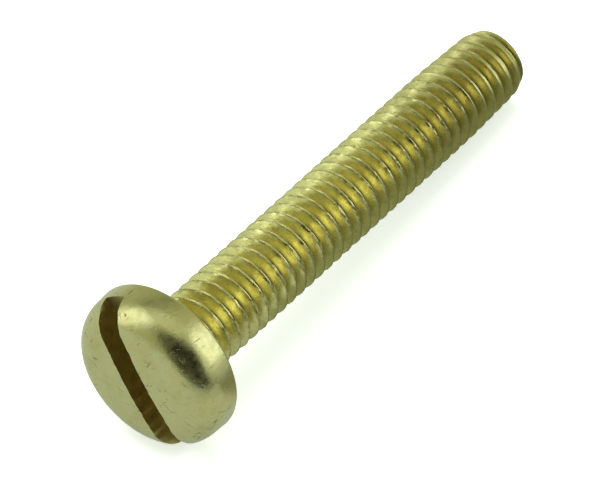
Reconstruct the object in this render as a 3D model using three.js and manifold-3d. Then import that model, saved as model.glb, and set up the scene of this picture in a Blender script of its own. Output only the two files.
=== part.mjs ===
// Slotted pan head machine screw, M4 x 0.7, 25 mm long, in solid brass.
//
// Millimetres. The screw's axis lies along Y: the head is towards -Y, the tip towards +Y, and +Z is up.
// The origin is on the axis, in the plane of the bearing face under the head.
//
// The screw is one piece of metal, so the model is one mesh. It is built standing on its own axis,
// where "along" is the distance from the bearing plane (positive towards the tip) and "radius" the
// distance from the axis, and the mesh is then laid down along Y.

import * as THREE from 'three';
import { mergeVertices } from 'three/addons/utils/BufferGeometryUtils.js';
import Module from 'manifold-3d';

// Driving dimensions -------------------------------------------------------------------------

const MAJOR_DIAMETER = 3.87;       // over the thread crests
const PITCH = 0.7;
const LENGTH = 25;                 // bearing face to tip face
const HEAD_DIAMETER = 7.86;
const HEAD_HEIGHT = 2.36;          // bearing plane to the top of the crown
const HEAD_SHOULDER_RADIUS = 1.45;
const HEAD_SIDE_LEAN = 3;          // degrees, how far the side leans in towards the face
const HEAD_EDGE_ROUND = 0.15;      // at the edge of the bearing face
const CROWN_RISE = 0.1;            // the face is very slightly domed
const SLOT_WIDTH = 1.26;
const SLOT_DEPTH = 1.36;
const SLOT_TURN = 32.7;            // degrees from upright, its lower end towards +X
const THREAD_TURN = 20;            // degrees, where round the axis the crests pass whole pitches
const CREST_FLAT = PITCH / 8;
const ROOT_FLAT = PITCH / 4;
const FLANK_ANGLE = 30;            // degrees, each flank from square to the axis
const FILLET_CLEARANCE = 0.16;     // from the crests out to the foot of the fillet under the head
const NECK_PLAIN_LENGTH = 0.2;     // straight neck between the fillet and the start of the thread
const RUNOUT_TURNS = 0.8;          // turns over which the thread fades into the neck
const TIP_FACE_INSET = 0.35;       // from the crests in to the edge of the tip face
const TIP_BEVEL_INSET = 0.135;     // from the crests in to where the steep bevel ends
const TIP_BEVEL_LENGTH = 0.64;
const TIP_TAPER_LENGTH = 4;        // over which the crests come up to the full major diameter

// How finely round shapes are divided ---------------------------------------------------------

const THREAD_SIDES = 24;
const HEAD_SIDES = 48;
const SHOULDER_STEPS = 6;
const CROWN_STEPS = 3;
const EDGE_STEPS = 2;
const FILLET_STEPS = 2;
const LEAST_STEP = 0.05;           // shortest piece of outline kept beside an end of the thread

// Sizes that follow from these ----------------------------------------------------------------

const degrees = THREE.MathUtils.degToRad;
const crestRadius = MAJOR_DIAMETER / 2;
const flankLength = (PITCH - CREST_FLAT - ROOT_FLAT) / 2;
const rootRadius = crestRadius - flankLength / Math.tan(degrees(FLANK_ANGLE));
const neckRadius = (crestRadius + rootRadius) / 2;
const filletFoot = crestRadius + FILLET_CLEARANCE;
const filletRadius = filletFoot - neckRadius;
const neckLength = filletRadius + NECK_PLAIN_LENGTH;
const tipFaceRadius = crestRadius - TIP_FACE_INSET;
const tipBevelRadius = crestRadius - TIP_BEVEL_INSET;
const headRadius = HEAD_DIAMETER / 2;
const shankSunk = (HEAD_HEIGHT - SLOT_DEPTH) / 2;   // how far the shank's solid reaches into the head

// Thread --------------------------------------------------------------------------------------

// The outline of one pitch, as corners at distances along it, starting at the middle of a crest.
const threadCorners = [
  { along: CREST_FLAT / 2, radius: crestRadius },
  { along: CREST_FLAT / 2 + flankLength, radius: rootRadius },
  { along: CREST_FLAT / 2 + flankLength + ROOT_FLAT, radius: rootRadius },
  { along: PITCH - CREST_FLAT / 2, radius: crestRadius },
];

// The largest radius the thread may have near the tip: a steep bevel, then a slow taper.
function tipLimit(along) {
  const fromTip = LENGTH - along;
  if (fromTip < TIP_BEVEL_LENGTH) {
    return THREE.MathUtils.lerp(tipFaceRadius, tipBevelRadius, fromTip / TIP_BEVEL_LENGTH);
  }
  const share = (fromTip - TIP_BEVEL_LENGTH) / (TIP_TAPER_LENGTH - TIP_BEVEL_LENGTH);
  return THREE.MathUtils.lerp(tipBevelRadius, crestRadius, Math.min(share, 1));
}

// How much of the thread's height is there: none at the neck, all of it after the run-out.
function threadShare(along) {
  return THREE.MathUtils.clamp((along - neckLength) / (RUNOUT_TURNS * PITCH), 0, 1);
}

// One outline from the neck to the tip in the half plane at a given turn of the helix. Each point
// carries the number of its corner along the thread, so that neighbouring outlines can be joined.
function outlineAt(turn) {
  const points = [];
  const firstPitch = Math.floor(neckLength / PITCH) - 2;
  const lastPitch = Math.ceil(LENGTH / PITCH) + 1;
  for (let pitch = firstPitch; pitch <= lastPitch; pitch += 1) {
    threadCorners.forEach((corner, index) => {
      const along = (pitch + turn) * PITCH + corner.along;
      if (along < neckLength + LEAST_STEP || along > LENGTH - LEAST_STEP) return;
      const full = Math.min(corner.radius, tipLimit(along));
      const radius = neckRadius + (full - neckRadius) * threadShare(along);
      points.push({ along, radius, number: pitch * threadCorners.length + index });
    });
  }
  return points;
}

// From inside the head, round the fillet in the bearing plane, to the end of the neck.
function underheadOutline() {
  const points = [{ along: -shankSunk, radius: filletFoot }];
  for (let step = 0; step <= FILLET_STEPS; step += 1) {
    const angle = Math.PI / 2 * step / FILLET_STEPS;
    points.push({
      along: filletRadius * (1 - Math.cos(angle)),
      radius: filletFoot - filletRadius * Math.sin(angle),
    });
  }
  points.push({ along: neckLength, radius: neckRadius });
  return points;
}

// The shank as one closed solid: its foot sunk in the head, the neck, the thread and the tip face.
function shankGeometry() {
  const position = [];
  const triangles = [];
  const addPoint = (side, along, radius) => {
    const angle = 2 * Math.PI * side / THREAD_SIDES;
    position.push(radius * Math.cos(angle), radius * Math.sin(angle), along);
    return position.length / 3 - 1;
  };
  const centrePoint = (along) => position.push(0, 0, along) / 3 - 1;

  const sunkCentre = centrePoint(-shankSunk);
  const tipCentre = centrePoint(LENGTH);
  const rootOutline = underheadOutline();
  const columns = [];
  for (let side = 0; side < THREAD_SIDES; side += 1) {
    const outline = outlineAt(side / THREAD_SIDES).map((point) => ({
      number: point.number,
      vertex: addPoint(side, point.along, point.radius),
    }));
    columns.push({
      outline,
      root: rootOutline.map((point) => addPoint(side, point.along, point.radius)),
      tip: addPoint(side, LENGTH, tipFaceRadius),
    });
  }

  columns.forEach((left, side) => {
    const wraps = side === THREAD_SIDES - 1;
    const right = columns[wraps ? 0 : side + 1];
    // One full turn on, the same corner is counted one pitch later.
    const shift = wraps ? threadCorners.length : 0;
    triangles.push(sunkCentre, right.root[0], left.root[0]);
    triangles.push(tipCentre, left.tip, right.tip);
    for (let row = 1; row < rootOutline.length; row += 1) {
      triangles.push(left.root[row - 1], right.root[row - 1], right.root[row]);
      triangles.push(left.root[row - 1], right.root[row], left.root[row]);
    }
    const a = [{ number: -Infinity, vertex: left.root.at(-1) }, ...left.outline,
      { number: Infinity, vertex: left.tip }];
    const b = [{ number: -Infinity, vertex: right.root.at(-1) },
      ...right.outline.map((point) => ({ ...point, number: point.number - shift })),
      { number: Infinity, vertex: right.tip }];
    let i = 0;
    let j = 0;
    while (i < a.length - 1 || j < b.length - 1) {
      const stepLeft = j === b.length - 1
        || (i < a.length - 1 && a[i + 1].number <= b[j + 1].number);
      if (stepLeft) {
        triangles.push(a[i].vertex, b[j].vertex, a[i + 1].vertex);
        i += 1;
      } else {
        triangles.push(a[i].vertex, b[j].vertex, b[j + 1].vertex);
        j += 1;
      }
    }
  });

  const geometry = new THREE.BufferGeometry();
  geometry.setAttribute('position', new THREE.Float32BufferAttribute(position, 3));
  geometry.setIndex(triangles);
  return geometry;
}

// Head ----------------------------------------------------------------------------------------

// Half outline of the head, from the axis on the crown, over the shoulder and down the side, to the
// axis in the bearing plane.
function headOutline() {
  const shoulderAlong = -(HEAD_HEIGHT - CROWN_RISE - HEAD_SHOULDER_RADIUS);
  const leanedIn = Math.tan(degrees(HEAD_SIDE_LEAN)) * (-shoulderAlong - HEAD_EDGE_ROUND);
  const shoulderCentre = headRadius - leanedIn - HEAD_SHOULDER_RADIUS;
  const points = [];
  for (let step = 0; step < CROWN_STEPS; step += 1) {
    const share = step / CROWN_STEPS;
    const along = -(HEAD_HEIGHT - CROWN_RISE * share * share);
    points.push(new THREE.Vector2(shoulderCentre * share, along));
  }
  for (let step = SHOULDER_STEPS; step >= 0; step -= 1) {
    const angle = Math.PI / 2 * step / SHOULDER_STEPS;
    points.push(new THREE.Vector2(
      shoulderCentre + HEAD_SHOULDER_RADIUS * Math.cos(angle),
      shoulderAlong - HEAD_SHOULDER_RADIUS * Math.sin(angle),
    ));
  }
  for (let step = EDGE_STEPS; step >= 0; step -= 1) {
    const angle = Math.PI / 2 * step / EDGE_STEPS;
    points.push(new THREE.Vector2(
      headRadius - HEAD_EDGE_ROUND * (1 - Math.sin(angle)),
      -HEAD_EDGE_ROUND * (1 - Math.cos(angle)),
    ));
  }
  points.push(new THREE.Vector2(0, 0));
  return points;
}

// LatheGeometry turns about Y; the head is turned so that this becomes the "along" direction, Z.
function headGeometry() {
  return new THREE.LatheGeometry(headOutline(), HEAD_SIDES).rotateX(Math.PI / 2);
}

// The cutter for the slot: a long bar across the face, turned about the axis.
function slotGeometry() {
  const reach = 2 * HEAD_HEIGHT;
  const floor = -(HEAD_HEIGHT - SLOT_DEPTH);
  return new THREE.BoxGeometry(SLOT_WIDTH, 2 * HEAD_DIAMETER, reach)
    .translate(0, 0, floor - reach / 2)
    .rotateZ(degrees(-SLOT_TURN));
}

// Joining and cutting ---------------------------------------------------------------------------

const wasm = await Module();
wasm.setup();

function toSolid(geometry) {
  const bare = geometry.clone();
  bare.deleteAttribute('normal');
  bare.deleteAttribute('uv');
  const merged = mergeVertices(bare, 1e-4);
  return new wasm.Manifold(new wasm.Mesh({
    numProp: 3,
    vertProperties: new Float32Array(merged.attributes.position.array),
    triVerts: new Uint32Array(merged.index.array),
  }));
}

function toGeometry(solid) {
  const mesh = solid.getMesh();
  const geometry = new THREE.BufferGeometry();
  geometry.setAttribute('position', new THREE.BufferAttribute(new Float32Array(mesh.vertProperties), 3));
  geometry.setIndex(new THREE.BufferAttribute(new Uint32Array(mesh.triVerts), 1));
  geometry.computeVertexNormals();
  return geometry;
}

// The screw -------------------------------------------------------------------------------------

const brass = new THREE.MeshStandardMaterial({ color: 0xb8b562, roughness: 0.32, metalness: 1 });

const screwSolid = toSolid(headGeometry())
  .add(toSolid(shankGeometry().rotateZ(degrees(THREAD_TURN))))
  .subtract(toSolid(slotGeometry()));

const screw = new THREE.Mesh(toGeometry(screwSolid), brass);
screw.name = 'screw';
screw.rotation.x = -Math.PI / 2;

const model = new THREE.Group();
model.add(screw);

export default model;
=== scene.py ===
# Slotted pan head machine screw in solid brass, M4 x 0.7, 25 mm long: the visible model.
#
# Metres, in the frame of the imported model: the screw's axis lies along Y, with the head towards -Y and
# the tip towards +Y, +Z is up, and the origin is on the axis in the plane of the bearing face.
# "Along" means along Y from the bearing face, and "radius" is the distance from the axis.

import math

import bmesh
import bpy
from mathutils import Matrix, Vector


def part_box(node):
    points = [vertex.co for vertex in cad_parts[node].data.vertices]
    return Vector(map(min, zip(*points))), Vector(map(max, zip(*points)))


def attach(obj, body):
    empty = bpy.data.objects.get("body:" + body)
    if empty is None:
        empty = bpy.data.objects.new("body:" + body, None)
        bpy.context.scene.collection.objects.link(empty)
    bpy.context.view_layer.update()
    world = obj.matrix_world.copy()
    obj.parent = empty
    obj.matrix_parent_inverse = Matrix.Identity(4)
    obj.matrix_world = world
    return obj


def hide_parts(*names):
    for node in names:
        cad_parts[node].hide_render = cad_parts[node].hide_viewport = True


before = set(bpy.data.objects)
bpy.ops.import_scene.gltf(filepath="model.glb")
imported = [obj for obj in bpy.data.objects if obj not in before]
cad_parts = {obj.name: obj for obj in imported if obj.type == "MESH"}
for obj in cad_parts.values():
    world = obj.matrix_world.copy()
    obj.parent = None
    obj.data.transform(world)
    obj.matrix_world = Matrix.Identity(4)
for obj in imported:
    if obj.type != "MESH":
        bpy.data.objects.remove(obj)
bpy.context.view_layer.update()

bl_info = {
    "name": "Brass Pan Head Screw",
    "version": (1, 0, 0),
    "blender": (4, 5, 0),
    "location": "View3D > Sidebar > Screw",
    "description": "Builds a slotted pan head machine screw in brass and the studio round it",
    "category": "Add Mesh",
}

MM = 0.001
LOW_CORNER, HIGH_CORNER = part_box("screw")
WELD_DISTANCE = 0.0001 * MM
ROUGHENING_SEED = 5


# Sizes and colours ------------------------------------------------------------------------------

def linear(hex_colour):
    """An sRGB hex colour as linear red, green and blue."""
    channels = [int(hex_colour[start:start + 2], 16) / 255 for start in (1, 3, 5)]
    return tuple(c / 12.92 if c <= 0.04045 else ((c + 0.055) / 1.055) ** 2.4 for c in channels)


def length(name, description, millimetres):
    """A length that a user would change, kept in metres."""
    return bpy.props.FloatProperty(
        name=name,
        description=description,
        default=millimetres * MM,
        min=0.0,
        precision=6,
        unit="LENGTH",
    )


class ScrewSizes(bpy.types.PropertyGroup):
    """The screw's dimensions."""

    shank_length: length("Shank length", "From the bearing face to the tip", HIGH_CORNER[1] / MM)
    major_diameter: length("Major diameter", "Over the thread crests", 3.87)
    pitch: length("Pitch", "From one crest to the next", 0.7)
    head_diameter: length("Head diameter", "At the rim", (HIGH_CORNER[0] - LOW_CORNER[0]) / MM)
    head_height: length("Head height", "From the bearing face to the top", -LOW_CORNER[1] / MM)
    shoulder_radius: length("Shoulder radius", "Rounds the side of the head into its face", 1.45)
    crown_rise: length("Crown rise", "How far the face is domed", 0.1)
    slot_width: length("Slot width", "Between the slot's walls", 1.26)
    slot_depth: length("Slot depth", "From the top of the head to the slot's floor", 1.36)
    slot_turn: bpy.props.FloatProperty(
        name="Slot turn",
        description="From upright, its lower end towards +X",
        default=math.radians(32.7),
        subtype="ANGLE",
    )
    thread_turn: bpy.props.FloatProperty(
        name="Thread turn",
        description="Where round the axis the crests pass whole pitches",
        default=math.radians(20),
        subtype="ANGLE",
    )


def brass_colour(name, description, hex_colour):
    """A colour that a user would change, kept as linear light."""
    return bpy.props.FloatVectorProperty(
        name=name,
        description=description,
        default=linear(hex_colour),
        min=0.0,
        max=1.0,
        subtype="COLOR",
    )


class ScrewColours(bpy.types.PropertyGroup):
    """The brass's colours."""

    pale: brass_colour("Pale brass", "Clean brass on the head and the crests", "#C8BD86")
    golden: brass_colour("Golden brass", "Clean brass on the thread's flanks", "#E6D991")
    amber: brass_colour("Amber stain", "Where the brass has warmed with handling", "#C4B069")
    olive: brass_colour("Olive stain", "Where the brass has dulled", "#A69F66")
    sawn: brass_colour("Sawn brass", "Inside the slot", "#C2AF70")
    # The dirt colour is also laid over the thread's roots and over more of the thread towards its tip,
    # to darken them.
    dirt: brass_colour("Dirt", "Dried oil in pits, scratches and roots", "#634A1F")


# Working by hand --------------------------------------------------------------------------------

def only(piece):
    """Leaves just this object selected and active."""
    bpy.ops.object.select_all(action="DESELECT")
    piece.select_set(True)
    bpy.context.view_layer.objects.active = piece


def named(name):
    """Names the object that was just added, and puts its place in its mesh."""
    piece = bpy.context.object
    only(piece)
    piece.name = name
    piece.data.name = name
    bpy.ops.object.transform_apply(location=True, rotation=True, scale=True)
    return piece


def pick(piece, kind, test):
    """In edit mode, selects the vertices, edges or faces that pass the test, and nothing else."""
    bpy.ops.mesh.select_mode(type=kind)
    bpy.ops.mesh.select_all(action="DESELECT")
    mesh = bmesh.from_edit_mesh(piece.data)
    items = {"VERT": mesh.verts, "EDGE": mesh.edges, "FACE": mesh.faces}[kind]
    for item in items:
        if test(item):
            item.select_set(True)
    mesh.select_flush_mode()
    bmesh.update_edit_mesh(piece.data)


def apply_modifier(piece, kind, **settings):
    """Adds a modifier with its settings and applies it."""
    only(piece)
    modifier = piece.modifiers.new(kind.title(), kind)
    for name, value in settings.items():
        setattr(modifier, name, value)
    bpy.ops.object.modifier_apply(modifier=modifier.name)


def combine(piece, other, how):
    """Joins, cuts or intersects piece with other, which is used up, and takes out the slivers."""
    before = len(piece.data.polygons)
    apply_modifier(piece, "BOOLEAN", object=other, operation=how, solver="MANIFOLD")
    bpy.data.objects.remove(other, do_unlink=True)
    if len(piece.data.polygons) == before:
        raise RuntimeError("the " + how.lower() + " on " + piece.name + " did nothing")
    bpy.ops.object.mode_set(mode="EDIT")
    bpy.ops.mesh.select_mode(type="VERT")
    bpy.ops.mesh.select_all(action="SELECT")
    bpy.ops.mesh.dissolve_degenerate(threshold=WELD_DISTANCE)
    bpy.ops.object.mode_set(mode="OBJECT")


def swell(radius_ratio, along):
    """Scales what is selected about the axis."""
    bpy.ops.transform.resize(
        value=(radius_ratio, 1, radius_ratio),
        center_override=(0, along, 0),
    )


def roughen(piece, amount, test):
    """In edit mode, moves the vertices that pass the test by up to this much, each its own way."""
    pick(piece, "VERT", test)
    bpy.ops.transform.vertex_random(offset=amount, uniform=1.0, normal=0.0, seed=ROUGHENING_SEED)


def turned(name, outline, sides):
    """A solid turned about the axis: a disc extruded from ring to ring along the outline, which is a
    list of (along, radius) from its head end to its tip end."""
    (along, radius), *rest = outline
    bpy.ops.mesh.primitive_circle_add(
        vertices=sides,
        radius=radius,
        fill_type="NGON",
        location=(0, along, 0),
        rotation=(math.pi / 2, 0, 0),
    )
    piece = named(name)
    bpy.ops.object.mode_set(mode="EDIT")
    bpy.ops.mesh.select_all(action="SELECT")
    for next_along, next_radius in rest:
        bpy.ops.mesh.extrude_region_move(
            TRANSFORM_OT_translate={"value": (0, next_along - along, 0)},
        )
        swell(next_radius / radius, next_along)
        along, radius = next_along, next_radius
    bpy.ops.mesh.select_all(action="SELECT")
    bpy.ops.mesh.normals_make_consistent(inside=False)
    bpy.ops.object.mode_set(mode="OBJECT")
    return piece


# The screw --------------------------------------------------------------------------------------

HEAD_SIDES = 144
SIDE_LEAN = math.radians(3)
RIM_ROUND = 0.15 * MM
RIM_STEPS = 4
SHOULDER_STEPS = 14
CROWN_STEPS = 6


def faces_the_driver(face):
    """Whether a face of the head looks towards -Y, where the screwdriver comes from."""
    return face.normal.y < -0.9


def make_head(sizes):
    """The head without its slot: a short cylinder whose side is leaned in, whose face is domed and
    whose two edges are rounded."""
    radius = sizes.head_diameter / 2
    straight = sizes.head_height - sizes.crown_rise
    bpy.ops.mesh.primitive_cylinder_add(
        vertices=HEAD_SIDES,
        radius=radius,
        depth=straight,
        location=(0, -straight / 2, 0),
        rotation=(math.pi / 2, 0, 0),
    )
    head = named("screw_head")
    bpy.ops.object.mode_set(mode="EDIT")
    pick(head, "FACE", faces_the_driver)
    swell(1 - math.tan(SIDE_LEAN) * straight / radius, 0)

    # The shoulder is an arc that touches the leaned side and the face.
    reach = sizes.shoulder_radius * math.tan((math.pi / 2 - SIDE_LEAN) / 2)
    pick(head, "EDGE", lambda edge: all(v.co.y < -straight + WELD_DISTANCE for v in edge.verts))
    bpy.ops.mesh.bevel(
        offset=reach,
        offset_type="OFFSET",
        segments=SHOULDER_STEPS,
        profile=0.5,
        affect="EDGES",
        clamp_overlap=False,
    )
    pick(head, "EDGE", lambda edge: all(v.co.y > -WELD_DISTANCE for v in edge.verts))
    bpy.ops.mesh.bevel(
        offset=RIM_ROUND,
        offset_type="OFFSET",
        segments=RIM_STEPS,
        profile=0.5,
        affect="EDGES",
        clamp_overlap=False,
    )

    # The dome rises as the square of the distance from the edge of the flat.
    pick(head, "FACE", lambda face: faces_the_driver(face) and len(face.verts) == HEAD_SIDES)
    flat_radius = radius - math.tan(SIDE_LEAN) * straight - reach
    for step in range(CROWN_STEPS - 1):
        share = 1 - step / CROWN_STEPS
        next_share = 1 - (step + 1) / CROWN_STEPS
        bpy.ops.mesh.inset(
            thickness=flat_radius / CROWN_STEPS,
            depth=sizes.crown_rise * (share ** 2 - next_share ** 2),
        )
    bpy.ops.object.mode_set(mode="OBJECT")
    return head


SAW_WANDER = 0.035 * MM
SAW_STEPS = 70


def make_slot_cutter(sizes):
    """The bar that the saw takes out of the head. Its corners wander a little along its length, so the
    slot's edges come out slightly ragged."""
    top = -2 * sizes.head_height
    floor = sizes.slot_depth - sizes.head_height
    bar_length = 2 * sizes.head_diameter
    bpy.ops.mesh.primitive_cube_add(
        size=1,
        location=(0, (top + floor) / 2, 0),
        scale=(sizes.slot_width, floor - top, bar_length),
    )
    cutter = named("slot_cutter")
    bpy.ops.object.mode_set(mode="EDIT")
    pick(cutter, "EDGE", lambda edge: edge.calc_length() > bar_length / 2)
    bpy.ops.mesh.subdivide(number_cuts=SAW_STEPS)
    roughen(cutter, SAW_WANDER, lambda v: True)
    bpy.ops.object.mode_set(mode="OBJECT")
    cutter.data.transform(Matrix.Rotation(-sizes.slot_turn, 4, "Y"))
    return cutter


THREAD_SIDES = 96
SPARE_TURNS = 2             # past each end of the shank, where they are cut off
CREST_SHARE = 1 / 16        # of the pitch, flat at the crest
ROOT_SHARE = 1 / 5          # of the pitch, flat at the root
FLANK_ANGLE = math.radians(30)
FLANK_CUTS = 3
CREST_ROUND = 0.010 * MM
ROOT_ROUND = 0.07 * MM
CREST_WEAR = 0.016 * MM
FLANK_WAVES = 0.004 * MM
FILLET_CLEARANCE = 0.16 * MM
FILLET_STEPS = 6
NECK_PLAIN_LENGTH = 0.2 * MM
RUNOUT_TURNS = 0.8
TIP_FACE_INSET = 0.35 * MM
TIP_BEVEL_INSET = 0.135 * MM
TIP_BEVEL_LENGTH = 0.64 * MM
TIP_TAPER_LENGTH = 4 * MM
SUNK = 0.5 * MM             # how far the neck reaches into the head
CLEAR_OF_CRESTS = 1.02      # times the crest radius
INSIDE_ROOTS = 0.98         # times the root radius


def make_threaded_rod(sizes):
    """One pitch of the thread's outline, wound round the axis from end to end of the shank."""
    pitch = sizes.pitch
    crest = sizes.major_diameter / 2
    crest_flat = pitch * CREST_SHARE
    root_flat = pitch * ROOT_SHARE
    flank = (pitch - crest_flat - root_flat) / 2
    depth = flank / math.tan(FLANK_ANGLE)

    # A plane is merged into one vertex, which is extruded along the outline of one pitch.
    bpy.ops.mesh.primitive_plane_add(size=pitch, location=(crest, -SPARE_TURNS * pitch, 0))
    rod = named("threaded_rod")
    bpy.ops.object.mode_set(mode="EDIT")
    bpy.ops.mesh.select_mode(type="VERT")
    bpy.ops.mesh.select_all(action="SELECT")
    bpy.ops.mesh.merge(type="CENTER")
    for inwards, along in (
        (0, crest_flat / 2),
        (-depth, flank),
        (0, root_flat),
        (depth, flank),
        (0, crest_flat / 2),
    ):
        bpy.ops.mesh.extrude_vertices_move(
            TRANSFORM_OT_translate={"value": (inwards, along, 0)},
        )
    corners = (
        (CREST_ROUND, lambda v: v.co.x > crest - depth / 2),
        (ROOT_ROUND, lambda v: v.co.x < crest - depth / 2),
    )
    for offset, near in corners:
        pick(rod, "VERT", lambda v: near(v) and len(v.link_edges) == 2)
        bpy.ops.mesh.bevel(offset=offset, segments=2, affect="VERTICES", clamp_overlap=True)
    pick(rod, "EDGE", lambda edge: edge.calc_length() > depth / 2)
    bpy.ops.mesh.subdivide(number_cuts=FLANK_CUTS)
    bpy.ops.object.mode_set(mode="OBJECT")

    turns = math.ceil(sizes.shank_length / pitch) + 2 * SPARE_TURNS
    apply_modifier(
        rod,
        "SCREW",
        axis="Y",
        angle=2 * math.pi,
        screw_offset=pitch,
        iterations=turns,
        steps=THREAD_SIDES,
        render_steps=THREAD_SIDES,
        use_merge_vertices=True,
        merge_threshold=WELD_DISTANCE * 10,
    )
    bpy.ops.object.mode_set(mode="EDIT")
    bpy.ops.mesh.select_all(action="SELECT")
    bpy.ops.mesh.remove_doubles(threshold=WELD_DISTANCE * 10)
    for along, outwards in ((0, -1), (sizes.shank_length, 1)):
        bpy.ops.mesh.select_all(action="SELECT")
        bpy.ops.mesh.bisect(
            plane_co=(0, along, 0),
            plane_no=(0, outwards, 0),
            use_fill=True,
            clear_outer=True,
            threshold=WELD_DISTANCE,
        )
    bpy.ops.mesh.select_all(action="SELECT")
    bpy.ops.mesh.normals_make_consistent(inside=False)

    # The crests stay true where the trim meets them, at the run-out and the taper.
    worn = crest - 3 * CREST_ROUND
    roughen(rod, CREST_WEAR, lambda v: (
        2 * pitch < v.co.y < sizes.shank_length - TIP_TAPER_LENGTH - pitch
        and math.hypot(v.co.x, v.co.z) > worn
    ))
    roughen(rod, FLANK_WAVES, lambda v: (
        2 * pitch < v.co.y < sizes.shank_length - 2 * pitch
        and math.hypot(v.co.x, v.co.z) < worn
    ))
    bpy.ops.object.mode_set(mode="OBJECT")
    rod.data.transform(Matrix.Rotation(sizes.thread_turn, 4, "Y"))
    return rod, crest - depth


def make_shank(sizes):
    """The threaded rod, trimmed by its run-out and its tapered, bevelled tip, on a filleted neck."""
    rod, root = make_threaded_rod(sizes)
    crest = sizes.major_diameter / 2
    neck = (crest + root) / 2
    foot = crest + FILLET_CLEARANCE
    fillet = foot - neck
    neck_end = fillet + NECK_PLAIN_LENGTH
    runout = RUNOUT_TURNS * sizes.pitch
    tip = sizes.shank_length
    outside = crest * CLEAR_OF_CRESTS

    trim = turned("thread_trim", [
        (neck_end / 2, neck),
        (neck_end, neck),
        (neck_end + runout, outside),
        (tip - TIP_TAPER_LENGTH - sizes.pitch, outside),
        (tip - TIP_TAPER_LENGTH, crest),
        (tip - TIP_BEVEL_LENGTH, crest - TIP_BEVEL_INSET),
        (tip, crest - TIP_FACE_INSET),
    ], THREAD_SIDES * 2)
    combine(rod, trim, "INTERSECT")

    outline = [(-SUNK, foot)]
    for step in range(FILLET_STEPS + 1):
        angle = math.pi / 2 * step / FILLET_STEPS
        outline.append((fillet * (1 - math.cos(angle)), foot - fillet * math.sin(angle)))
    outline.append((neck_end, neck))
    outline.append((neck_end + runout, root * INSIDE_ROOTS))
    neck_piece = turned("screw_neck", outline, THREAD_SIDES * 2)
    combine(rod, neck_piece, "UNION")
    return rod


HEAD_FINISH, SLOT_FINISH, THREAD_FINISH = range(3)
SQUARE_ON = 0.8             # a normal's share along a direction that it roughly points in


def finish_screw(screw, sizes, colours):
    """Gives the head, the slot and the threaded shank their own finishes."""
    screw.data.materials.clear()
    for material in (
        headed_brass(colours),
        sawn_brass(colours, sizes),
        rolled_brass(colours, sizes),
    ):
        screw.data.materials.append(material)
    across_slot = Vector((math.cos(sizes.slot_turn), 0, math.sin(sizes.slot_turn)))
    reach = sizes.slot_width / 2 + SAW_WANDER
    floor = sizes.slot_depth - sizes.head_height
    for face in screw.data.polygons:
        face.material_index = HEAD_FINISH
        is_wall = abs(face.normal.dot(across_slot)) > SQUARE_ON
        is_floor = face.normal.y < -SQUARE_ON and abs(face.center.y - floor) < SAW_WANDER
        if face.center.y > 10 * WELD_DISTANCE:
            face.material_index = THREAD_FINISH
        elif abs(face.center.dot(across_slot)) < reach and (is_wall or is_floor):
            face.material_index = SLOT_FINISH


SMOOTHING_ANGLE = math.radians(35)


class SCREW_OT_add_screw(bpy.types.Operator):
    """Build the brass screw: its head, neck and thread in one piece, with the slot cut across."""

    bl_idname = "screw.add_screw"
    bl_label = "Add Screw"

    def execute(self, context):
        sizes = context.scene.screw_sizes
        screw = make_head(sizes)
        combine(screw, make_slot_cutter(sizes), "DIFFERENCE")
        combine(screw, make_shank(sizes), "UNION")
        screw.name = "brass_screw"
        screw.data.name = "brass_screw"
        only(screw)
        bpy.ops.object.shade_smooth_by_angle(angle=SMOOTHING_ANGLE)
        finish_screw(screw, sizes, context.scene.screw_colours)
        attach(screw, "root")
        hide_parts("screw")
        return {"FINISHED"}


# Materials --------------------------------------------------------------------------------------

def add_node(tree, kind, inputs=None, output=0, **settings):
    """Adds a shader node with its settings and links, and gives back one of its outputs. An input is
    a number, a colour or another node's output."""
    made = tree.nodes.new("ShaderNode" + kind)
    for name, value in settings.items():
        setattr(made, name, value)
    for name, value in (inputs or {}).items():
        if isinstance(value, bpy.types.NodeSocket):
            tree.links.new(value, made.inputs[name])
        else:
            made.inputs[name].default_value = value
    return made.outputs[output]


def opaque(colour):
    """The colour as a node takes it, with nothing showing through."""
    return (*colour, 1)


def start_metal(name):
    """A bare metal and where its patterns are read: the object's own coordinates, in metres."""
    material = bpy.data.materials.new(name)
    material.use_nodes = True
    tree = material.node_tree
    shader = tree.nodes["Principled BSDF"]
    shader.inputs["Metallic"].default_value = 1
    return material, tree, shader, add_node(tree, "TexCoord", output="Object")


def blotches(tree, place, size, stretch=(1, 1, 1), turn=0.0, detail=3.0, fray=0.6, warp=0.0):
    """Soft noise from 0 to 1 whose blotches are about this size, longer where stretch is larger, and
    turned about Y."""
    laid = add_node(tree, "Mapping", {
        "Vector": place,
        "Rotation": (0, turn, 0),
        "Scale": tuple(size * each for each in stretch),
    }, vector_type="TEXTURE")
    return add_node(tree, "TexNoise", {
        "Vector": laid,
        "Scale": 1.0,
        "Detail": detail,
        "Roughness": fray,
        "Distortion": warp,
    }, "Fac")


def stained(tree, skin, colour, pattern, low, high, most):
    """Lays a colour over the skin: none where the pattern is below low, and this share of it at most
    where the pattern is above high."""
    share = add_node(tree, "MapRange", {
        "Value": pattern,
        "From Min": low,
        "From Max": high,
        "To Max": most,
    }, interpolation_type="SMOOTHSTEP")
    return add_node(tree, "Mix", {
        "Factor": share,
        "A": skin,
        "B": opaque(colour),
    }, "Result", data_type="RGBA")


def link_roughness(tree, shader, dulled, bright, dull):
    """Makes the metal duller where it is stained."""
    roughness = add_node(tree, "MapRange", {
        "Value": dulled,
        "From Min": 0.35,
        "From Max": 0.7,
        "To Min": bright,
        "To Max": dull,
    }, interpolation_type="SMOOTHSTEP")
    tree.links.new(roughness, shader.inputs["Roughness"])


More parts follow.
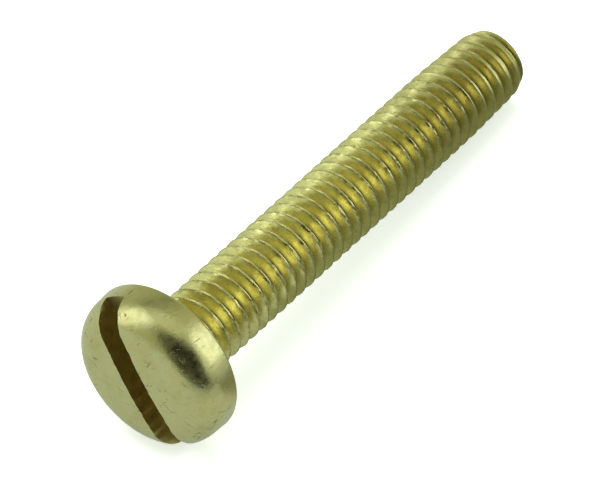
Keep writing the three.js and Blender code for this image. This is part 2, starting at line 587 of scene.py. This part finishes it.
def link_bumps(tree, shader, bumps, marks=None):
    """Raises each pattern by its depth, and sinks the marks."""
    normal = None
    for pattern, depth in bumps:
        inputs = {"Height": pattern, "Strength": 1.0, "Distance": depth}
        if normal is not None:
            inputs["Normal"] = normal
        normal = add_node(tree, "Bump", inputs)
    if marks is not None:
        normal = add_node(tree, "Bump", {
            "Height": marks,
            "Strength": 1.0,
            "Distance": MARK_DEPTH,
            "Normal": normal,
        }, invert=True)
    tree.links.new(normal, shader.inputs["Normal"])


MARK_DEPTH = 0.01 * MM
SCRATCH_WIDTH = 0.05 * MM
SCRATCHES = ((0.5, 14), (-0.9, 18), (1.3, 12))      # turn in radians, length in widths


def headed_brass(colours):
    """Cold headed brass, tumbled clean. The eye sees a pale satin metal with the faint peel of the
    heading die, small pits, amber and olive stains from handling, and a few short scratches."""
    material, tree, shader, place = start_metal("brass_cold_headed")
    amber = blotches(tree, place, 1.5 * MM, detail=4.0, warp=0.6)
    olive = blotches(tree, place, 0.5 * MM, detail=5.0, fray=0.7)
    peel = blotches(tree, place, 0.3 * MM, detail=2.0)
    grain = blotches(tree, place, 0.07 * MM, detail=2.0)

    # Real hairlines are finer: these are as wide as they need to be to show.
    scratches = 0.0
    for turn, widths in SCRATCHES:
        lines = blotches(
            tree, place, SCRATCH_WIDTH,
            stretch=(1, 8, widths), turn=turn, detail=0.0,
        )
        line = add_node(tree, "MapRange", {
            "Value": lines,
            "From Min": 0.75,
            "From Max": 0.80,
            "To Max": 0.8,
        }, interpolation_type="SMOOTHSTEP")
        scratches = add_node(tree, "Math", {0: scratches, 1: line}, operation="MAXIMUM")
    handled = add_node(tree, "MapRange", {
        "Value": blotches(tree, place, 0.9 * MM, detail=1.0),
        "From Min": 0.52,
        "From Max": 0.64,
    }, interpolation_type="SMOOTHSTEP")
    scratches = add_node(tree, "Math", {0: scratches, 1: handled}, operation="MULTIPLY")
    pits = add_node(tree, "MapRange", {
        "Value": blotches(tree, place, 0.16 * MM, detail=1.0),
        "From Min": 0.76,
        "From Max": 0.84,
    }, interpolation_type="SMOOTHSTEP")
    marks = add_node(tree, "Math", {0: pits, 1: scratches}, operation="MAXIMUM")

    skin = stained(tree, opaque(colours.pale), colours.amber, amber, 0.42, 0.72, 0.4)
    skin = stained(tree, skin, colours.olive, olive, 0.50, 0.75, 0.35)
    skin = add_node(tree, "Mix", {
        "Factor": marks,
        "A": skin,
        "B": opaque(colours.dirt),
    }, "Result", data_type="RGBA")
    tree.links.new(skin, shader.inputs["Base Color"])
    link_roughness(tree, shader, olive, 0.24, 0.38)
    link_bumps(tree, shader, ((peel, 0.010 * MM), (grain, 0.002 * MM)), marks)
    return material


def sawn_brass(colours, sizes):
    """Brass as the slotting saw leaves it. The eye sees a dull brown floor and walls, with scores
    that run along the slot. Real scores are finer than the 0.06 mm that shows here."""
    material, tree, shader, place = start_metal("brass_sawn_slot")
    scores = blotches(tree, place, 0.06 * MM, stretch=(1, 1, 25), turn=-sizes.slot_turn)
    grime = blotches(tree, place, 0.5 * MM, detail=4.0)
    skin = stained(tree, opaque(colours.sawn), colours.dirt, grime, 0.35, 0.75, 0.3)
    tree.links.new(skin, shader.inputs["Base Color"])
    shader.inputs["Roughness"].default_value = 0.42
    link_bumps(tree, shader, ((scores, 0.012 * MM),))
    return material


# The thread is darker in its roots, where the dirt colour is laid over the brass.
ROOT_DARKENING_RADIUS = 0.38 * MM       # inwards from the crests
ROOT_DARKENING_HEIGHT = 0.10 * MM
RUBBED_FROM, RUBBED_TO = 0.06 * MM, 0.02 * MM       # inwards from the crests
# The thread darkens towards the tip between these two places.
TIP_DARKENING_FROM, TIP_DARKENING_TO = 12 * MM, 22 * MM           # along


def rolled_brass(colours, sizes):
    """Rolled thread in brass. The eye sees golden flanks drawn into fine streaks round the axis, olive
    stains, small dark nicks, and crests that are rubbed pale. The dirt colour darkens the roots, and all
    of the thread more and more towards the tip."""
    material, tree, shader, place = start_metal("brass_rolled_thread")
    side, along, up = (
        add_node(tree, "SeparateXYZ", {"Vector": place}, axis) for axis in ("X", "Y", "Z")
    )
    outwards = add_node(tree, "CombineXYZ", {"X": side, "Z": up})
    radius = add_node(tree, "VectorMath", {0: outwards}, "Value", operation="LENGTH")
    crest = sizes.major_diameter / 2
    root = crest - ROOT_DARKENING_RADIUS

    amber = blotches(tree, place, 1.1 * MM, detail=4.0, warp=0.4)
    olive = blotches(tree, place, 0.35 * MM, stretch=(1.6, 0.6, 1.6), detail=5.0, fray=0.7)
    streaks = blotches(tree, place, 0.05 * MM, stretch=(10, 1, 10))
    grain = blotches(tree, place, 0.10 * MM, fray=0.7)
    nicks = add_node(tree, "MapRange", {
        "Value": blotches(tree, place, 0.22 * MM, detail=2.0),
        "From Min": 0.74,
        "From Max": 0.82,
    }, interpolation_type="SMOOTHSTEP")
    # Darker in the roots: a share of the dirt colour below this radius.
    root_darkening = add_node(tree, "MapRange", {
        "Value": radius,
        "From Min": root,
        "From Max": root + ROOT_DARKENING_HEIGHT,
        "To Min": 0.3,
        "To Max": 0.0,
    }, interpolation_type="SMOOTHSTEP")
    # Darker towards the tip: the dirt colour's share grows along the shank.
    tip_darkening = add_node(tree, "MapRange", {
        "Value": along,
        "From Min": TIP_DARKENING_FROM,
        "From Max": TIP_DARKENING_TO,
        "To Max": 0.27,
    }, interpolation_type="SMOOTHSTEP")
    # The roots and the tip end are darkened, and so are the nicks.
    darkening_and_nicks = add_node(tree, "Math", {0: root_darkening, 1: tip_darkening}, operation="ADD")
    darkening_and_nicks = add_node(tree, "Math", {0: darkening_and_nicks, 1: nicks}, operation="MAXIMUM")

    skin = stained(tree, opaque(colours.golden), colours.amber, amber, 0.45, 0.7, 0.35)
    skin = stained(tree, skin, colours.olive, olive, 0.48, 0.72, 0.5)
    skin = add_node(tree, "Mix", {
        "Factor": darkening_and_nicks,
        "A": skin,
        "B": opaque(colours.dirt),
    }, "Result", data_type="RGBA")
    skin = stained(tree, skin, colours.pale, radius, crest - RUBBED_FROM, crest - RUBBED_TO, 1.0)
    tree.links.new(skin, shader.inputs["Base Color"])
    link_roughness(tree, shader, olive, 0.22, 0.38)
    link_bumps(tree, shader, ((streaks, 0.004 * MM), (grain, 0.005 * MM)), nicks)
    return material


# Studio -----------------------------------------------------------------------------------------

CAMERA_AZIMUTH = 36.92
CAMERA_ELEVATION = 43.0
CAMERA_DISTANCE = 264.72 * MM
CAMERA_AIM = Vector((-0.336, 10.20, -0.718)) * MM
CAMERA_LENS = 349.3
CAMERA_CLIP = (0.01, 10)

# The lamps are a little green and blue, which makes bare brass look pale; the room is warmer.
WHITE = (1.0, 1.0, 1.0)
LAMP_TINT = (0.86, 1.0, 1.16)
TABLE_TINT = (0.88, 1.0, 0.98)
ROOM_TINT = (0.85, 1.0, 0.67)
ROOM_BRIGHTNESS = 0.6

LAMP_DISTANCE = 400 * MM
CLOTH_DISTANCE = 320 * MM
FILL_DISTANCE = 500 * MM
FILL_SIZE = 450 * MM
FILL_WATTS = 2.0
TABLE_SIZE = 4
TABLE_GAP = 0.03 * MM       # under the screw
BOUNCE_GAP = 0.01 * MM
BACKDROP_RADIUS = 1.9

# name, azimuth, elevation, width, height, radiance
SOFTBOXES = (
    ("softbox_left", -54, 32, 36, 58, 1.25),
    ("softbox_right_wide", 110, 32, 56, 46, 0.6),
    ("softbox_right_core", 126, 30, 30, 38, 0.9),
    ("softbox_ceiling", 0, 90, 46, 46, 0.3),
)
# name, azimuth, elevation, width, height, fades, glow
HUNG_CLOTHS = (
    ("front", 39, 18, 100, 100, (0.62, 0.41, 0.05, 0.48), 0.02),
    ("back", -135, 52, 60, 36, (0.7, 0.7, 0.7, 0.7), 0.3),
)
# Cloths laid on the table paint the floor's shade into the reflections: table_side_painted_shadow is a
# painted shadow of the screw beside the shaft, and table_front_painted_shade is painted shade on the
# floor in front and to the right.
# name, x, y, turn, width, height, fades, glow, in millimetres and degrees
LAID_SHADE_CLOTHS = (
    ("table_front_painted_shade", 131, -130, -12, 256, 258, (0.06, 0.5, 0.5, 0.04), 0.02),
    ("table_side_painted_shadow", 15, 18.5, 0, 30, 33, (0.14, 0.5, 0.15, 0.15), 0.30),
)


def direction(azimuth, elevation):
    """The way from the screw to something at these angles in degrees: azimuth 0 is in front of the
    head, at -Y, and 90 is at +X."""
    turn, rise = math.radians(azimuth), math.radians(elevation)
    return Vector((
        math.sin(turn) * math.cos(rise),
        -math.cos(turn) * math.cos(rise),
        math.sin(rise),
    ))


def facing(azimuth, elevation, distance):
    """Place and turn for something that looks back at the screw."""
    towards = direction(azimuth, elevation)
    return {
        "location": towards * distance,
        "rotation": towards.to_track_quat("Z", "Y").to_euler(),
    }


def spread(distance, angle):
    """How wide something this far away is if it fills this angle in degrees."""
    return 2 * distance * math.tan(math.radians(angle) / 2)


def add_softbox(name, azimuth, elevation, width, height, radiance):
    """A soft lamp that fills these angles in degrees as the screw sees it."""
    bpy.ops.object.light_add(type="AREA", **facing(azimuth, elevation, LAMP_DISTANCE))
    lamp = bpy.context.object
    lamp.name = name
    lamp.data.shape = "RECTANGLE"
    lamp.data.size = spread(LAMP_DISTANCE, width)
    lamp.data.size_y = spread(LAMP_DISTANCE, height)
    lamp.data.energy = radiance * math.pi * lamp.data.size * lamp.data.size_y
    lamp.data.color = LAMP_TINT
    lamp.visible_camera = False


def add_cloth(name, place, width, height, fades, glow):
    """Dark felt that only reflections see, for the dark bands that shape the brass, and laid on the
    table for painted shadow and shade on the floor. It fades out over these shares of its half width and
    half height, at its left, right, lower and upper edge."""
    bpy.ops.mesh.primitive_plane_add(size=2, **place)
    cloth = bpy.context.object
    cloth.name = name
    cloth.scale = (width / 2, height / 2, 1)
    material = bpy.data.materials.new("felt_dark_" + name)
    material.use_nodes = True
    tree = material.node_tree
    tree.nodes.remove(tree.nodes["Principled BSDF"])
    place_on_cloth = add_node(tree, "TexCoord", output="Object")
    cover = 1.0
    for (axis, edge), fade in zip((("X", -1), ("X", 1), ("Y", -1), ("Y", 1)), fades):
        from_edge = add_node(tree, "MapRange", {
            "Value": add_node(tree, "SeparateXYZ", {"Vector": place_on_cloth}, axis),
            "From Min": edge,
            "From Max": edge * (1 - fade),
        }, interpolation_type="SMOOTHSTEP")
        cover = add_node(tree, "Math", {0: cover, 1: from_edge}, operation="MULTIPLY")
    felt = add_node(tree, "Emission", {"Color": opaque(ROOM_TINT), "Strength": glow})
    clear = add_node(tree, "BsdfTransparent")
    surface = add_node(tree, "MixShader", {0: cover, 1: clear, 2: felt})
    tree.links.new(surface, tree.nodes["Material Output"].inputs["Surface"])
    cloth.data.materials.append(material)
    cloth.visible_camera = False
    cloth.visible_diffuse = False
    cloth.visible_shadow = False


def cover_with(thing, name, brightness, tint, glow):
    """Gives something of the stage a matt surface, which may also glow."""
    material = bpy.data.materials.new(name)
    material.use_nodes = True
    shader = material.node_tree.nodes["Principled BSDF"]
    shader.inputs["Emission Color"].default_value = opaque(tint)
    shader.inputs["Emission Strength"].default_value = glow
    shader.inputs["Base Color"].default_value = opaque(brightness * each for each in tint)
    shader.inputs["Roughness"].default_value = 0.9
    thing.data.materials.append(material)


class SCREW_OT_add_studio(bpy.types.Operator):
    """Build the pale floor, the soft lights and the camera."""

    bl_idname = "screw.add_studio"
    bl_label = "Add Studio"

    def execute(self, context):
        scene = context.scene
        sizes = scene.screw_sizes
        scene.view_settings.view_transform = "Standard"

        towards_camera = direction(CAMERA_AZIMUTH, CAMERA_ELEVATION)
        bpy.ops.object.camera_add(
            location=CAMERA_AIM + towards_camera * CAMERA_DISTANCE,
            rotation=towards_camera.to_track_quat("Z", "Y").to_euler(),
        )
        camera = context.object
        camera.data.lens = CAMERA_LENS
        camera.data.clip_start, camera.data.clip_end = CAMERA_CLIP
        scene.camera = camera

        # The screw lies on its rim and its last crest, so the floor slopes in the screw's own frame.
        rim = sizes.head_diameter / 2
        last_crest = sizes.major_diameter / 2 - TIP_BEVEL_INSET
        apart = sizes.shank_length - TIP_BEVEL_LENGTH + RIM_ROUND
        slope = math.atan((rim - last_crest) / apart)

        # Opal acrylic lit from below gives an even, nearly white floor with a faint, soft shadow.
        bpy.ops.mesh.primitive_plane_add(
            size=TABLE_SIZE, location=(0, 0, -rim - TABLE_GAP), rotation=(slope, 0, 0),
        )
        floor = context.object
        floor.name = "studio_floor"
        cover_with(floor, "acrylic_opal_lit_from_below", 0.95, WHITE, 0.45)
        floor.visible_glossy = False

        # Lit white muslin closes a low camera's view, if it sees past 2.2 m. It lights nothing.
        bpy.ops.mesh.primitive_uv_sphere_add(segments=48, ring_count=24, radius=BACKDROP_RADIUS)
        backdrop = context.object
        backdrop.name = "studio_backdrop"
        cover_with(backdrop, "muslin_white_lit", 0.0, WHITE, 1.0)
        backdrop.visible_glossy = False
        backdrop.visible_diffuse = False
        backdrop.visible_shadow = False

        # The brass reflects this matt grey paper in place of the brighter floor.
        bpy.ops.mesh.primitive_plane_add(
            size=TABLE_SIZE, location=(0, 0, -rim - BOUNCE_GAP), rotation=(slope, 0, 0),
        )
        bounce = context.object
        bounce.name = "studio_bounce"
        cover_with(bounce, "paper_matt_grey", 0.28, TABLE_TINT, 0.37)
        bounce.visible_camera = False
        bounce.visible_diffuse = False
        bounce.visible_shadow = False

        for softbox in SOFTBOXES:
            add_softbox(*softbox)
        for name, azimuth, elevation, width, height, fades, glow in HUNG_CLOTHS:
            size = spread(CLOTH_DISTANCE, width), spread(CLOTH_DISTANCE, height)
            add_cloth(name, facing(azimuth, elevation, CLOTH_DISTANCE), *size, fades, glow)
        # Painted shadow and shade on the floor, which only reflections see.
        for name, x, y, turn, width, height, fades, glow in LAID_SHADE_CLOTHS:
            lies = Matrix.Rotation(slope, 3, "X") @ Matrix.Rotation(math.radians(turn), 3, "Z")
            place = {
                "location": (x * MM, y * MM, y * MM * math.tan(slope) - rim),
                "rotation": lies.to_euler(),
            }
            add_cloth(name, place, width * MM, height * MM, fades, glow)

        # Lights the floor evenly, and is left out of reflections.
        bpy.ops.object.light_add(type="AREA", **facing(-110, 66, FILL_DISTANCE))
        fill = context.object
        fill.name = "overhead_fill"
        fill.data.size = FILL_SIZE
        fill.data.energy = FILL_WATTS
        fill.visible_camera = False
        fill.visible_glossy = False

        world = bpy.data.worlds.new("soft_studio_light")
        scene.world = world
        world.use_nodes = True
        background = world.node_tree.nodes["Background"]
        background.inputs["Color"].default_value = opaque(ROOM_TINT)
        background.inputs["Strength"].default_value = ROOM_BRIGHTNESS
        return {"FINISHED"}


# Panel ------------------------------------------------------------------------------------------

class SCREW_PT_panel(bpy.types.Panel):
    """Lists the screw's sizes and colours and the operators that build it and its studio."""

    bl_label = "Screw"
    bl_space_type = "VIEW_3D"
    bl_region_type = "UI"
    bl_category = "Screw"

    def draw(self, context):
        scene = context.scene
        for properties in (scene.screw_sizes, scene.screw_colours):
            for name in type(properties).__annotations__:
                self.layout.prop(properties, name)
        for operator in OPERATORS:
            self.layout.operator(operator.bl_idname)


OPERATORS = (SCREW_OT_add_screw, SCREW_OT_add_studio)
CLASSES = (ScrewSizes, ScrewColours, *OPERATORS, SCREW_PT_panel)


def register():
    for each in CLASSES:
        bpy.utils.register_class(each)
    bpy.types.Scene.screw_sizes = bpy.props.PointerProperty(type=ScrewSizes)
    bpy.types.Scene.screw_colours = bpy.props.PointerProperty(type=ScrewColours)


def unregister():
    del bpy.types.Scene.screw_colours
    del bpy.types.Scene.screw_sizes
    for each in reversed(CLASSES):
        bpy.utils.unregister_class(each)


def main():
    register()
    bpy.ops.screw.add_screw()
    bpy.ops.screw.add_studio()


if __name__ == "__main__":
    main()
